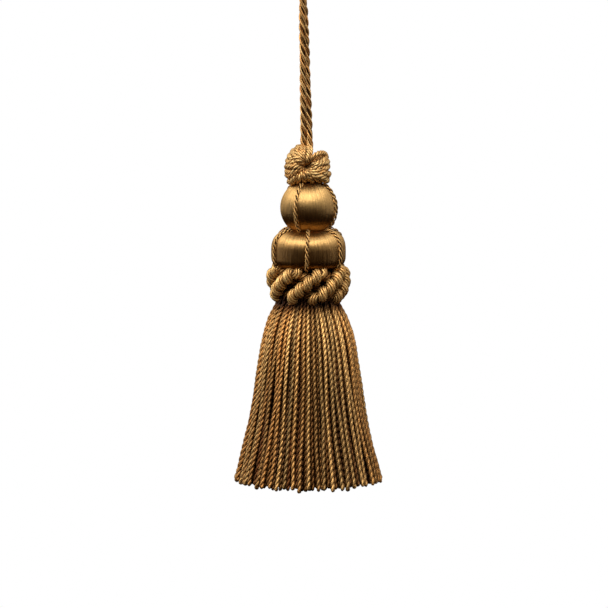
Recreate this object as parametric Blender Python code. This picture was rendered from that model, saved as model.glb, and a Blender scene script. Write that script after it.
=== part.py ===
"""A silk key tassel on its hanging loop: a corded rosette over two floss-covered turned moulds,
a wound collar, and a skirt of twisted bullion cords.

Metres, +Z up, front towards -Y. The origin is the hang point, on the inner side of the top of the
loop. The tassel's own axis is parallel to Z at x = TASSEL_X, because the loop leans a little.
"""

import math

import bmesh
import bpy
from mathutils import Vector

# Driving dimensions. Heights are z levels below the hang point.
GAP = 0.0003  # between pieces that touch in use
MERGE = 0.00002  # joins a turned profile's ends on the axis
TASSEL_X = 0.0021  # the tassel's axis, to the right of the hang point

CORD_DIAMETER = 0.0022
CORD_POINTS = 56

ROSETTE_LEVEL = -0.0649  # its two dimples
ROSETTE_RADIUS = 0.0080
ROSETTE_HEIGHT = 0.0142
ROSETTE_DEPTH = 0.0132  # front to back
ROSETTE_DIMPLE = 0.0011  # radius of the eye that the loops run out of
ROSETTE_LOOPS = 22
LOOP_RELIEF = 0.0004  # height of a ridge over the groove beside it

UPPER_LEVEL = -0.0795
UPPER_RADIUS = 0.0097

LOWER_LEVEL = -0.0951  # the widest point of the bun
LOWER_RADIUS = 0.0128
LOWER_RISE = 0.0081
LOWER_DROP = 0.0056
SPIGOT_RADIUS = 0.0075
SPIGOT_END = -0.1135

FLOSS_CORD_DIAMETER = 0.0012  # the fine cords laid over both moulds

COLLAR_LEVEL = -0.1058
COLLAR_HALF_HEIGHT = 0.0071
COLLAR_RADIUS = 0.0147  # over the crowns of its ropes
COLLAR_ROPES = 8  # rope crossings round the outside
COLLAR_LEAN = math.radians(68)  # how far round a rope goes from bottom to top
COLLAR_RELIEF = 0.0012

HEM_LEVEL = -0.1762
HEADING_TOP = -0.1016
HEADING_RADIUS = 0.0101
SKIRT_WALL = 0.0034
SKIRT_FLUTES = 44
FLUTE_DEPTH = 0.0007
TIP_HEIGHT = 0.0018  # how far the notches of the comb run up from the hem

# The outside of the skirt from the collar down: height as a share of the drop from skirt top to hem.
SKIRT_TOP = -0.1141
SKIRT_SECTIONS = (
    # share of the drop, radius
    (0.00, 0.0115),
    (0.07, 0.0137),
    (0.17, 0.0158),
    (0.30, 0.0173),
    (0.53, 0.0193),
    (0.76, 0.0223),
    (0.93, 0.0250),
)
HEM_RADIUS = 0.0259

# The loop's route, from the foot of the front leg over the top to the foot of the back leg.
CORD_ROUTE = (
    # x, y, z
    (0.00055, -0.00010, -0.05720),
    (0.00045, -0.00075, -0.04850),
    (0.00025, -0.00150, -0.03700),
    (0.00015, -0.00235, -0.02500),
    (0.00000, -0.00335, -0.01300),
    (0.00000, -0.00425, -0.00560),
    (0.00000, -0.00400, -0.00170),
    (0.00000, -0.00225, 0.00055),
    (0.00000, 0.00000, 0.00110),
    (0.00000, 0.00225, 0.00055),
    (0.00000, 0.00400, -0.00170),
    (0.00020, 0.00425, -0.00560),
    (0.00090, 0.00365, -0.01150),
    (0.00140, 0.00290, -0.02100),
    (0.00190, 0.00200, -0.03300),
    (0.00245, 0.00110, -0.04500),
    (0.00300, 0.00010, -0.05720),
)

FINISHES = {
    # name: colour, roughness, metallic
    "cord_silk": ((0.30, 0.16, 0.06), 0.50, 0.30),
    "rosette_silk": ((0.32, 0.16, 0.055), 0.45, 0.35),
    "mould_floss": ((0.52, 0.31, 0.12), 0.35, 0.45),
    "trim_cord": ((0.42, 0.24, 0.09), 0.45, 0.40),
    "collar_gimp": ((0.28, 0.15, 0.055), 0.45, 0.40),
    "skirt_bullion": ((0.24, 0.12, 0.035), 0.50, 0.35),
}


def finish(name):
    """The Principled material of one of FINISHES, made at its first use."""
    if name not in bpy.data.materials:
        colour, roughness, metallic = FINISHES[name]
        material = bpy.data.materials.new(name)
        material.use_nodes = True
        shader = material.node_tree.nodes["Principled BSDF"]
        shader.inputs["Base Color"].default_value = (*colour, 1)
        shader.inputs["Roughness"].default_value = roughness
        shader.inputs["Metallic"].default_value = metallic
    return bpy.data.materials[name]


def add_object(name, data, finish_name, parent):
    """Links a new object with its finish to the scene, under its parent empty."""
    data.materials.append(finish(finish_name))
    piece = bpy.data.objects.new(name, data)
    piece.parent = parent
    bpy.context.scene.collection.objects.link(piece)
    return piece


def turned(name, profile, sides, finish_name, parent, ring=False, reshape=None):
    """Spins a profile of (radius, z) about Z. A ring's profile closes on itself, and any other one
    starts and ends on the axis. reshape(point) gives each vertex its last place."""
    mesh = bmesh.new()
    points = [mesh.verts.new((radius, 0, z)) for radius, z in profile]
    follows = points[1:] + points[:1] if ring else points[1:]
    edges = [mesh.edges.new(pair) for pair in zip(points, follows)]
    bmesh.ops.spin(
        mesh,
        geom=points + edges,
        cent=(0, 0, 0),
        axis=(0, 0, 1),
        angle=math.tau,
        steps=sides,
        use_merge=True,
    )
    bmesh.ops.remove_doubles(mesh, verts=mesh.verts, dist=MERGE)
    if reshape:
        for vertex in mesh.verts:
            vertex.co = reshape(vertex.co)
    bmesh.ops.recalc_face_normals(mesh, faces=mesh.faces)
    data = bpy.data.meshes.new(name)
    mesh.to_mesh(data)
    mesh.free()
    data.shade_smooth()
    return add_object(name, data, finish_name, parent)


def superellipse(radius, height, power, steps):
    """A quarter of a superellipse from its widest point to its top, as (radius, height)."""
    points = []
    for i in range(steps + 1):
        turn = math.pi / 2 * i / steps
        share = 2 / power
        points.append((radius * math.cos(turn) ** share, height * math.sin(turn) ** share))
    points[-1] = (0.0, height)
    return points


def through(route, count):
    """count points, evenly spaced along a Catmull-Rom curve through the route's points."""
    ends = [2 * route[0] - route[1], *route, 2 * route[-1] - route[-2]]
    fine = []
    for before, start, end, after in zip(ends, ends[1:], ends[2:], ends[3:]):
        for i in range(20):
            t = i / 20
            bend = 2 * before - 5 * start + 4 * end - after
            twist = 3 * start - before - 3 * end + after
            fine.append(start + 0.5 * t * ((end - before) + t * (bend + t * twist)))
    fine.append(route[-1].copy())
    lengths = [0.0]
    for a, b in zip(fine, fine[1:]):
        lengths.append(lengths[-1] + (b - a).length)
    points = []
    at = 0
    for i in range(count):
        wanted = lengths[-1] * i / (count - 1)
        while at < len(fine) - 2 and lengths[at + 1] < wanted:
            at += 1
        share = (wanted - lengths[at]) / (lengths[at + 1] - lengths[at])
        points.append(fine[at].lerp(fine[at + 1], min(share, 1.0)))
    return points


def cord(name, points, diameter, finish_name, parent):
    """A round cord along the points, closed at both ends."""
    curve = bpy.data.curves.new(name, "CURVE")
    curve.dimensions = "3D"
    curve.bevel_depth = diameter / 2
    curve.bevel_resolution = 2
    curve.render_resolution_u = 0
    curve.use_fill_caps = True
    spline = curve.splines.new("POLY")
    spline.points.add(len(points) - 1)
    for place, point in zip(spline.points, points):
        place.co = (*point, 1)
    return add_object(name, curve, finish_name, parent)


def rosette(parent):
    """The ball of cord loops that run out of a front dimple and over the rim to a back one. It is
    turned about Y, ridged along each loop, and hollowed below to sit on the upper mould."""
    tube = (ROSETTE_RADIUS - ROSETTE_DIMPLE) / 2
    middle = (ROSETTE_RADIUS + ROSETTE_DIMPLE) / 2
    steps = 10
    profile = [(0.0, -ROSETTE_DEPTH / 2 + 2 * LOOP_RELIEF)]
    for i in range(steps + 1):
        turn = math.radians(160) * (2 * i / steps - 1)
        bulge = abs(math.sin(turn)) ** 0.8 * math.copysign(1, turn)
        profile.append((middle + tube * math.cos(turn), bulge * ROSETTE_DEPTH / 2))
    profile.append((0.0, ROSETTE_DEPTH / 2 - 2 * LOOP_RELIEF))
    seat_level = UPPER_LEVEL - ROSETTE_LEVEL
    seat_radius = UPPER_RADIUS + GAP + LOOP_RELIEF / 2
    top = ROSETTE_HEIGHT / 2

    def reshape(point):
        angle = math.atan2(point.y, point.x)
        radius = math.hypot(point.x, point.y)
        ridge = math.cos(ROSETTE_LOOPS * angle) * LOOP_RELIEF / 2 * min(1, radius / middle)
        stretch = (radius + ridge) / max(radius, MERGE)
        place = Vector((point.x * stretch, point.z, point.y * stretch))
        place.z = min(place.z, top)
        seat = Vector((0, 0, seat_level))
        if (place - seat).length < seat_radius:
            place = seat + (place - seat).normalized() * seat_radius
        return place

    sides = ROSETTE_LOOPS * 3
    piece = turned("top_rosette", profile, sides, "rosette_silk", parent, reshape=reshape)
    piece.location = (0, 0, ROSETTE_LEVEL)


def upper_mould(parent):
    """The floss-covered ball. Its foot is cut flat just above the bun."""
    foot = LOWER_LEVEL + LOWER_RISE + GAP
    last = math.acos((foot - UPPER_LEVEL) / UPPER_RADIUS)
    steps = 12
    profile = []
    for i in range(steps + 1):
        turn = last * i / steps
        profile.append(
            (UPPER_RADIUS * math.sin(turn), UPPER_LEVEL + UPPER_RADIUS * math.cos(turn))
        )
    profile[0] = (0.0, profile[0][1])
    profile.append((0.0, foot))
    turned("upper_mould", profile, 36, "mould_floss", parent)


def lower_mould(parent):
    """The floss-covered bun, with the spigot below it that the skirt's heading is wound on."""
    above = superellipse(LOWER_RADIUS, LOWER_RISE, 3, 7)
    below = superellipse(LOWER_RADIUS, LOWER_DROP, 4, 6)
    neck = [point for point in below[1:] if point[0] > SPIGOT_RADIUS]
    profile = [(radius, LOWER_LEVEL + height) for radius, height in reversed(above)]
    profile += [(radius, LOWER_LEVEL - height) for radius, height in neck]
    profile += [
        (SPIGOT_RADIUS, LOWER_LEVEL - LOWER_DROP),
        (SPIGOT_RADIUS, SPIGOT_END),
        (0.0, SPIGOT_END),
    ]
    turned("lower_mould", profile, 40, "mould_floss", parent)


def mould_cords(name, count, first_azimuth, outline, parent):
    """Fine cords laid over a mould along its meridians. An azimuth is 0 at the front and grows
    to the right."""
    for i in range(count):
        azimuth = math.radians(first_azimuth) + math.tau * i / count
        points = [
            Vector((radius * math.sin(azimuth), -radius * math.cos(azimuth), z))
            for radius, z in outline
        ]
        cord(f"{name}_{i + 1}", points, FLOSS_CORD_DIAMETER, "trim_cord", parent)


def upper_cord_outline():
    """The meridian of a cord on the ball, from under the rosette to the crease."""
    lay = UPPER_RADIUS + GAP + FLOSS_CORD_DIAMETER / 2
    first, last, steps = math.radians(57), math.radians(129), 7
    outline = []
    for i in range(steps + 1):
        turn = first + (last - first) * i / steps
        outline.append((lay * math.sin(turn), UPPER_LEVEL + lay * math.cos(turn)))
    return outline


def lower_cord_outline():
    """The meridian of a cord on the bun, from the crease to the top of the collar."""
    lay = GAP + FLOSS_CORD_DIAMETER / 2 + 0.0001
    above = superellipse(LOWER_RADIUS + lay, LOWER_RISE + lay, 3, 8)[:6]
    outline = [(radius, LOWER_LEVEL + height) for radius, height in reversed(above)]
    end = COLLAR_LEVEL + COLLAR_HALF_HEIGHT + 0.0010
    return [*outline, (LOWER_RADIUS + lay, end)]


def plaited_collar(parent):
    """The ring of thick gimp ropes wound slantwise over the join of bun and skirt. It leans out at
    its top, where it laps the bun, and in at its foot."""
    outer = (
        # share of the half height, distance in from the crowns
        (1.00, 0.0016),
        (0.86, 0.0007),
        (0.50, 0.0001),
        (0.00, 0.0000),
        (-0.50, 0.0002),
        (-0.82, 0.0011),
        (-1.00, 0.0026),
    )
    inner = (
        # share of the half height, radius
        (-0.94, HEADING_RADIUS + GAP + 0.0009),
        (0.00, HEADING_RADIUS + GAP),
        (0.45, HEADING_RADIUS + GAP + 0.0003),
        (0.80, LOWER_RADIUS - 0.0006),
        (0.97, LOWER_RADIUS + GAP / 2),
    )
    profile = [
        (COLLAR_RADIUS - inset, COLLAR_LEVEL + share * COLLAR_HALF_HEIGHT)
        for share, inset in outer
    ]
    profile += [
        (radius, COLLAR_LEVEL + share * COLLAR_HALF_HEIGHT) for share, radius in inner
    ]
    front_rope = math.radians(-96)  # where one rope crosses mid-height, in plan from +X

    def reshape(point):
        angle = math.atan2(point.y, point.x)
        radius = math.hypot(point.x, point.y)
        rise = (point.z - COLLAR_LEVEL) / (2 * COLLAR_HALF_HEIGHT)
        wave = math.cos(COLLAR_ROPES * (angle - front_rope - rise * COLLAR_LEAN))
        outside = min(1, max(0, (radius - LOWER_RADIUS) / (COLLAR_RADIUS - LOWER_RADIUS)))
        sunk = radius - COLLAR_RELIEF * outside * (1 - wave) / 2
        return Vector((sunk * math.cos(angle), sunk * math.sin(angle), point.z))

    turned(
        "plaited_collar",
        profile,
        COLLAR_ROPES * 7,
        "collar_gimp",
        parent,
        ring=True,
        reshape=reshape,
    )


def skirt_radius(level):
    """The outer radius of the skirt at a z level between its top and its hem."""
    drop = SKIRT_TOP - HEM_LEVEL
    share = (SKIRT_TOP - level) / drop
    rows = [*SKIRT_SECTIONS, (1.0, HEM_RADIUS)]
    for (above, upper), (below, lower) in zip(rows, rows[1:]):
        if share <= below:
            return upper + (lower - upper) * (share - above) / (below - above)
    return HEM_RADIUS


def bullion_skirt(parent):
    """The hollow skirt of twisted cords, as one comb: fluted outside, notched between the tips of
    its cords, and wound round the spigot at its heading."""
    drop = SKIRT_TOP - HEM_LEVEL
    outer = [(radius, SKIRT_TOP - share * drop) for share, radius in SKIRT_SECTIONS]
    profile = [(HEADING_RADIUS, HEADING_TOP), (HEADING_RADIUS, SKIRT_TOP + 0.0012), *outer]
    profile += [
        (HEM_RADIUS, HEM_LEVEL + TIP_HEIGHT / 2),
        (HEM_RADIUS - SKIRT_WALL / 2, HEM_LEVEL),
        (HEM_RADIUS - SKIRT_WALL, HEM_LEVEL + TIP_HEIGHT / 2),
    ]
    profile += [(radius - SKIRT_WALL, level) for radius, level in (outer[5], outer[2])]
    profile += [
        (SPIGOT_RADIUS + GAP, SPIGOT_END - 3 * GAP),
        (SPIGOT_RADIUS + GAP, HEADING_TOP),
    ]
    sides = SKIRT_FLUTES * 3  # two on each crown and one in each groove

    def reshape(point):
        angle = math.atan2(point.y, point.x)
        radius = math.hypot(point.x, point.y)
        in_groove = round(angle / math.tau * sides) % 3 == 0
        if not in_groove or point.z > outer[1][1]:
            return point
        if radius > skirt_radius(point.z) - SKIRT_WALL / 4:
            radius -= FLUTE_DEPTH * (SKIRT_TOP - point.z) / drop
        lift = TIP_HEIGHT * max(0, 1 - (point.z - HEM_LEVEL) / (2 * TIP_HEIGHT))
        return Vector((radius * math.cos(angle), radius * math.sin(angle), point.z + lift))

    turned(
        "bullion_skirt", profile, sides, "skirt_bullion", parent, ring=True, reshape=reshape
    )


def main():
    """Clears the scene and makes the tassel and its loop."""
    for leftover in list(bpy.data.objects):
        bpy.data.objects.remove(leftover)
    tassel = bpy.data.objects.new("tassel", None)
    tassel.location = (TASSEL_X, 0, 0)
    bpy.context.scene.collection.objects.link(tassel)
    route = through([Vector(point) for point in CORD_ROUTE], CORD_POINTS)
    cord("hanging_cord", route, CORD_DIAMETER, "cord_silk", None)
    rosette(tassel)
    upper_mould(tassel)
    mould_cords("upper_mould_cord", 4, -22.5, upper_cord_outline(), tassel)
    lower_mould(tassel)
    mould_cords("lower_mould_cord", 6, -63.0, lower_cord_outline(), tassel)
    plaited_collar(tassel)
    bullion_skirt(tassel)


main()
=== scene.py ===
"""The finished looks of a silk key tassel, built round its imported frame.

Every cord is laid up as a maker lays it: filaments are twisted into yarns, yarns into strands and
strands into the cord, each as a swept tube along the one before. All sizes are in metres, +Z is
up and the front faces -Y.
"""

from __future__ import annotations

import logging
import math
from abc import ABC, abstractmethod
from dataclasses import dataclass, field, fields, replace
from enum import Enum

import bpy
import numpy as np
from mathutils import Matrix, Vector


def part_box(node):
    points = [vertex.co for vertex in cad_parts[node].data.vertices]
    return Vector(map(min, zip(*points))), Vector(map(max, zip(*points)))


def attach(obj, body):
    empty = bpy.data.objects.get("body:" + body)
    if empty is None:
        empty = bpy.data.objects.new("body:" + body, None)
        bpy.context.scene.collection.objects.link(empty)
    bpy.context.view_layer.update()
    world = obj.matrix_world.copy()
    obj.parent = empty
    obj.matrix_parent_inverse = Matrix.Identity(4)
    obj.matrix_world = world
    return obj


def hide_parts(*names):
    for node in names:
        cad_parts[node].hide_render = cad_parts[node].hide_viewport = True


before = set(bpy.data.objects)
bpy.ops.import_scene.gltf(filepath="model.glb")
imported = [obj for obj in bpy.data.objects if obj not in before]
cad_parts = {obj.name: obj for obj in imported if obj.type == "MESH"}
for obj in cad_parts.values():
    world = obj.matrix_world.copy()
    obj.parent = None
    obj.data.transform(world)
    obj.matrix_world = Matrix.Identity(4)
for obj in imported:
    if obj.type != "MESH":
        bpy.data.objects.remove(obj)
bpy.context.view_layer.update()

LOG = logging.getLogger("tassel")
TURN = 2 * math.pi
MM = 0.001
UV_LAY = "lay"  # u runs round a strand, v along it in millimetres
TONE = "tone"  # one random number for each cord
SHADE = "shade"  # painted shade: 0 deep between strands, where shade falls, and 1 on the outside
DOME = ((0.62, 0.78), (0.95, 0.30))  # rings past a tube's end: how far and how wide, in radii
SHADED, OPEN = 0.50, 0.82  # shares of a cord's reach between which the painted shade between its strands lifts
SPAN_POINTS = 24  # points on the curve between two points of a route

Point = tuple[float, float, float]
Colour = tuple[float, float, float]
Feed = bpy.types.NodeSocket | float | tuple[float, ...]  # what a node's input takes

CORD_ROUTE = (
    # x, y, z from the foot of the front leg over the top to the foot of the back leg
    (0.00055, -0.00010, -0.05720),
    (0.00045, -0.00075, -0.04850),
    (0.00025, -0.00150, -0.03700),
    (0.00015, -0.00235, -0.02500),
    (0.00000, -0.00335, -0.01300),
    (0.00000, -0.00425, -0.00560),
    (0.00000, -0.00400, -0.00170),
    (0.00000, -0.00225, 0.00055),
    (0.00000, 0.00000, 0.00110),
    (0.00000, 0.00225, 0.00055),
    (0.00000, 0.00400, -0.00170),
    (0.00020, 0.00425, -0.00560),
    (0.00090, 0.00365, -0.01150),
    (0.00140, 0.00290, -0.02100),
    (0.00190, 0.00200, -0.03300),
    (0.00245, 0.00110, -0.04500),
    (0.00300, 0.00010, -0.05720),
)


class Hand(Enum):
    """The way strands turn in a cord, as a spinner names it."""

    S = -1
    Z = 1


class Slot(Enum):
    """The record's material slots."""

    CORD = "cord_silk"
    ROSETTE = "rosette_silk"
    FLOSS = "mould_floss"
    TRIM = "trim_cord"
    COLLAR = "collar_gimp"
    SKIRT = "skirt_bullion"


@dataclass(frozen=True)
class Lay:
    """How several strands turn round one another.

    Attributes:
        strands: how many strands there are.
        offset: from the cord's middle to a strand's middle.
        pitch: the length of cord in which a strand turns once.
        hand: which way they turn.
    """

    strands: int
    offset: float
    pitch: float
    hand: Hand


def unit(vectors: np.ndarray) -> np.ndarray:
    """Each vector at length one."""
    return vectors / np.maximum(np.linalg.norm(vectors, axis=-1, keepdims=True), 1e-12)


def lengths(lines: np.ndarray) -> np.ndarray:
    """Measures along lines.

    Args:
        lines: (..., points, 3).

    Returns:
        The distance along each line at each of its points, (..., points).
    """
    steps = np.linalg.norm(np.diff(lines, axis=-2), axis=-1)
    start = np.zeros(steps.shape[:-1] + (1,))
    return np.concatenate([start, np.cumsum(steps, axis=-1)], axis=-1)


def transported(lines: np.ndarray) -> tuple[np.ndarray, np.ndarray, np.ndarray]:
    """Frames that follow each line without turning about it.

    Args:
        lines: (lines, points, 3).

    Returns:
        The unit side, up and forward vectors, each (lines, points, 3).
    """
    forward = unit(np.gradient(lines, axis=1))
    first = forward[:, 0]
    guide = np.where(np.abs(first[:, 2:3]) > 0.8, [[0.0, -1.0, 0.0]], [[0.0, 0.0, 1.0]])
    side = np.empty_like(lines)
    side[:, 0] = unit(guide - np.sum(guide * first, 1, keepdims=True) * first)
    for i in range(1, lines.shape[1]):
        ahead, last = forward[:, i], side[:, i - 1]
        side[:, i] = unit(last - np.sum(last * ahead, 1, keepdims=True) * ahead)
    return side, np.cross(forward, side), forward


def laid_up(
    lines: np.ndarray, lay: Lay, phase: np.ndarray | float = 0.0, spread: np.ndarray | float = 1.0
) -> np.ndarray:
    """The middle lines of the strands that turn round each line.

    Args:
        lines: (lines, points, 3).
        lay: the strands' number, offset, pitch and hand.
        phase: each line's first angle.
        spread: a share of the offset at each point.

    Returns:
        (lines * strands, points, 3), a line's strands after one another.
    """
    side, up, _ = transported(lines)
    turns = lay.hand.value * TURN * lengths(lines) / lay.pitch + np.reshape(phase, (-1, 1))
    angle = turns[:, None, :] + (TURN * np.arange(lay.strands) / lay.strands)[None, :, None]
    out = lay.offset * np.broadcast_to(spread, turns.shape)[:, None, :, None]
    strands = lines[:, None] + out * (
        np.cos(angle)[..., None] * side[:, None] + np.sin(angle)[..., None] * up[:, None]
    )
    return strands.reshape(-1, lines.shape[1], 3)


def smooth_route(route: np.ndarray, step: float) -> np.ndarray:
    """Draws a Catmull-Rom curve through a route's points.

    Args:
        route: (points, 3).
        step: about how far apart the curve's points are.

    Returns:
        The curve's evenly spaced points, (points, 3).
    """
    ends = np.vstack([2 * route[0] - route[1], route, 2 * route[-1] - route[-2]])
    t = np.linspace(0, 1, SPAN_POINTS, endpoint=False)[:, None]
    runs = []
    for before, start, end, after in zip(ends, ends[1:], ends[2:], ends[3:]):
        bend = 2 * before - 5 * start + 4 * end - after
        twist = 3 * start - before - 3 * end + after
        runs.append(start + 0.5 * t * ((end - before) + t * (bend + t * twist)))
    return even_steps(np.vstack([*runs, route[-1:]]), step)


def even_steps(line: np.ndarray, step: float) -> np.ndarray:
    """Spaces a line's points evenly.

    Args:
        line: (points, 3).
        step: about how far apart the points come to be.

    Returns:
        The same line with other points, (points, 3).
    """
    along = lengths(line)
    count = max(4, int(round(along[-1] / step)) + 1)
    wanted = np.linspace(0, along[-1], count)
    return np.stack([np.interp(wanted, along, line[:, i]) for i in range(3)], axis=1)


@dataclass
class Surface:
    """The arrays that one mesh is made from.

    Attributes:
        points: (points, 3).
        corners: the faces' corners as point numbers, one face after another.
        sizes: how many corners each face has.
        uvs: (corners, 2).
        tones: one for each point.
        shades: the painted shade, one for each point.
    """

    points: np.ndarray
    corners: np.ndarray
    sizes: np.ndarray
    uvs: np.ndarray
    tones: np.ndarray
    shades: np.ndarray

    @classmethod
    def joined(cls, parts: list[Surface]) -> Surface:
        """Joins surfaces, whose points are then numbered on from one another.

        Args:
            parts: the surfaces.

        Returns:
            All of them as one.
        """
        firsts = np.cumsum([0] + [len(part.points) for part in parts])
        parts = [replace(part, corners=part.corners + first) for part, first in zip(parts, firsts)]
        keys = [key.name for key in fields(cls)]
        return cls(*(np.concatenate([getattr(part, key) for part in parts]) for key in keys))

    def piece(self, name: str) -> bpy.types.Object:
        """Makes the smooth mesh object.

        Args:
            name: the piece's name.

        Returns:
            The object, linked to the scene.
        """
        data = bpy.data.meshes.new(name)
        data.vertices.add(len(self.points))
        data.vertices.foreach_set("co", self.points.astype(np.float32).reshape(-1))
        data.loops.add(len(self.corners))
        data.loops.foreach_set("vertex_index", self.corners.astype(np.int32))
        data.polygons.add(len(self.sizes))
        starts = np.concatenate([[0], np.cumsum(self.sizes)[:-1]])
        data.polygons.foreach_set("loop_start", starts.astype(np.int32))
        data.update(calc_edges=True)
        lay = data.uv_layers.new(name=UV_LAY)
        lay.data.foreach_set("uv", self.uvs.astype(np.float32).reshape(-1))
        for key, values in ((TONE, self.tones), (SHADE, self.shades)):
            layer = data.attributes.new(key, "FLOAT", "POINT")
            layer.data.foreach_set("value", values.astype(np.float32))
        data.shade_smooth()
        return placed(name, data)


def placed(name: str, data: bpy.types.ID) -> bpy.types.Object:
    """Puts a mesh, a light or a camera into the scene.

    Args:
        name: the object's name.
        data: what it holds.

    Returns:
        The object.
    """
    thing = bpy.data.objects.new(name, data)
    bpy.context.scene.collection.objects.link(thing)
    return thing


def skin(
    along: np.ndarray, sides: int, clockwise: bool = False
) -> tuple[np.ndarray, np.ndarray, np.ndarray]:
    """The faces over the rings of tubes, with a fan at each end.

    The points are numbered ring by ring and tube by tube, with the start poles and then the end
    poles of all tubes after them.

    Args:
        along: the distance in millimetres at each ring, (tubes, rings).
        sides: how many points a ring has.
        clockwise: whether they go round clockwise, looking along the tube.

    Returns:
        The corners, the faces' sizes and the uvs, as a Surface has them.
    """
    many, rings = along.shape
    here = np.arange(many * rings * sides).reshape(many, rings, sides)
    ahead = np.roll(here, -1, axis=2)
    quads = np.stack([here[:, :-1], ahead[:, :-1], ahead[:, 1:], here[:, 1:]], axis=-1)
    poles = np.broadcast_to(
        here.size + np.arange(2 * many).reshape(2, many, 1), (2, many, sides)
    )
    fans = np.stack(
        [poles, np.stack([ahead[:, 0], here[:, -1]]), np.stack([here[:, 0], ahead[:, -1]])], axis=-1
    )
    u0 = np.broadcast_to(np.arange(sides) / sides, quads.shape[:3])
    v0 = np.broadcast_to(along[:, :-1, None], u0.shape)
    v1 = np.broadcast_to(along[:, 1:, None], u0.shape)
    u1 = u0 + 1 / sides
    quad_uvs = np.stack([u0, v0, u1, v0, u1, v1, u0, v1], axis=-1).reshape(*quads.shape, 2)
    fan_uvs = np.zeros((*fans.shape, 2))
    fan_uvs[1, ..., 1] = along[:, -1, None, None]
    if clockwise:
        turned = [0, 3, 2, 1]
        quads, quad_uvs, fans = quads[..., turned], quad_uvs[..., turned, :], fans[..., [0, 2, 1]]
    corners = np.concatenate([quads.reshape(-1), fans.reshape(-1)])
    sizes = np.repeat([4, 3], [quads.size // 4, fans.size // 3])
    return corners, sizes, np.concatenate([quad_uvs.reshape(-1, 2), fan_uvs.reshape(-1, 2)])


class Tubes:
    """Swept tubes gathered into one mesh, with their lay, tone and painted shade on it."""

    def __init__(self) -> None:
        """Starts empty."""
        self.surfaces: list[Surface] = []

    def add(
        self,
        lines: np.ndarray,
        radius: np.ndarray | float,
        sides: int,
        tone: np.ndarray | float,
        cores: tuple[tuple[np.ndarray, np.ndarray | float], ...] = (),
        light: np.ndarray | float = 1.0,
    ) -> None:
        """Sweeps a round tube with domed ends along each line.

        Args:
            lines: (lines, points, 3).
            radius: one for all, or (lines, points).
            sides: of the tube's section.
            tone: one for all, or one for each line.
            cores: the lines that each tube winds round, shaped as lines, each with the
                distance from it at which the painted shade between the strands ends; nearer
                the line, deeper between the strands, the tube is painted darker.
            light: painted shade on its outside, one for all, or (lines, points).
        """
        radius = np.broadcast_to(np.asarray(radius, float), lines.shape[:2])
        lines, radius = self.domed(lines, radius)
        side, up, _ = transported(lines)
        many, rings = lines.shape[:2]
        angle = TURN * np.arange(sides) / sides
        out = np.cos(angle)[:, None] * side[:, :, None] + np.sin(angle)[:, None] * up[:, :, None]
        walls = lines[:, :, None] + radius[:, :, None, None] * out
        # painted shade: the given shade, darkened further where the surface lies deep towards a line
        # that it winds round
        shade = np.repeat(self.padded(light, many, rings)[..., None], sides, axis=-1)
        for core, reach in cores:
            core = np.pad(core, ((0, 0), (len(DOME), len(DOME)), (0, 0)), mode="edge")
            far = np.linalg.norm(walls - core[:, :, None], axis=-1)
            share = far / self.padded(reach, many, rings)[..., None]
            shade = shade * np.clip((share - SHADED) / (OPEN - SHADED), 0, 1)
        tones = np.broadcast_to(np.asarray(tone, float), (many,))
        self.surfaces.append(
            Surface(
                np.concatenate([walls.reshape(-1, 3), lines[:, 0], lines[:, -1]]),
                *skin(lengths(lines) / MM, sides),
                np.concatenate([np.repeat(tones, rings * sides), tones, tones]),
                np.concatenate([shade.reshape(-1), shade[:, 0, 0], shade[:, -1, 0]]),
            )
        )

    @staticmethod
    def padded(values: np.ndarray | float, many: int, rings: int) -> np.ndarray:
        """Values for every ring of every tube, with those of the domed ends."""
        full = np.broadcast_to(np.asarray(values, float), (many, rings - 2 * len(DOME)))
        return np.pad(full, ((0, 0), (len(DOME), len(DOME))), mode="edge")

    @staticmethod
    def domed(lines: np.ndarray, radius: np.ndarray) -> tuple[np.ndarray, np.ndarray]:
        """Adds rings past both ends of each line, so that its ends are round.

        Args:
            lines: (lines, points, 3).
            radius: (lines, points).

        Returns:
            Both of them with the rings added.
        """
        ahead = unit(lines[:, -1] - lines[:, -2]) * radius[:, -1:]
        back = unit(lines[:, 0] - lines[:, 1]) * radius[:, :1]
        before = [lines[:, 0] + back * reach for reach, _ in reversed(DOME)]
        after = [lines[:, -1] + ahead * reach for reach, _ in DOME]
        lines = np.concatenate([np.stack(before, 1), lines, np.stack(after, 1)], axis=1)
        start = [radius[:, 0] * share for _, share in reversed(DOME)]
        end = [radius[:, -1] * share for _, share in DOME]
        return lines, np.concatenate([np.stack(start, 1), radius, np.stack(end, 1)], axis=1)

    def piece(self, name: str) -> bpy.types.Object:
        """All tubes so far as one mesh object."""
        return Surface.joined(self.surfaces).piece(name)


def feed(tree: bpy.types.NodeTree, node: bpy.types.Node, feeds: dict[str | int, Feed]) -> None:
    """Links or sets a node's inputs.

    Args:
        tree: the node's tree.
        node: the node.
        feeds: a socket or a value for each input.
    """
    for key, value in feeds.items():
        if isinstance(value, bpy.types.NodeSocket):
            tree.links.new(value, node.inputs[key])
        else:
            node.inputs[key].default_value = value


def add_node(
    tree: bpy.types.NodeTree, kind: str, feeds: dict[str | int, Feed], **settings: object
) -> bpy.types.Node:
    """Adds a shader node.

    Args:
        tree: where it goes.
        kind: its type, without the words that all types start with.
        feeds: a socket or a value for each input.
        **settings: the node's own options.

    Returns:
        The node.
    """
    node = tree.nodes.new("ShaderNode" + kind)
    for key, value in settings.items():
        setattr(node, key, value)
    feed(tree, node, feeds)
    return node


def math_node(
    tree: bpy.types.NodeTree, operation: str, *values: Feed, clamp: bool = False
) -> bpy.types.NodeSocket:
    """A Math node's output, fed by sockets or numbers."""
    feeds = dict(enumerate(values))
    return add_node(tree, "Math", feeds, operation=operation, use_clamp=clamp).outputs[0]


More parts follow.
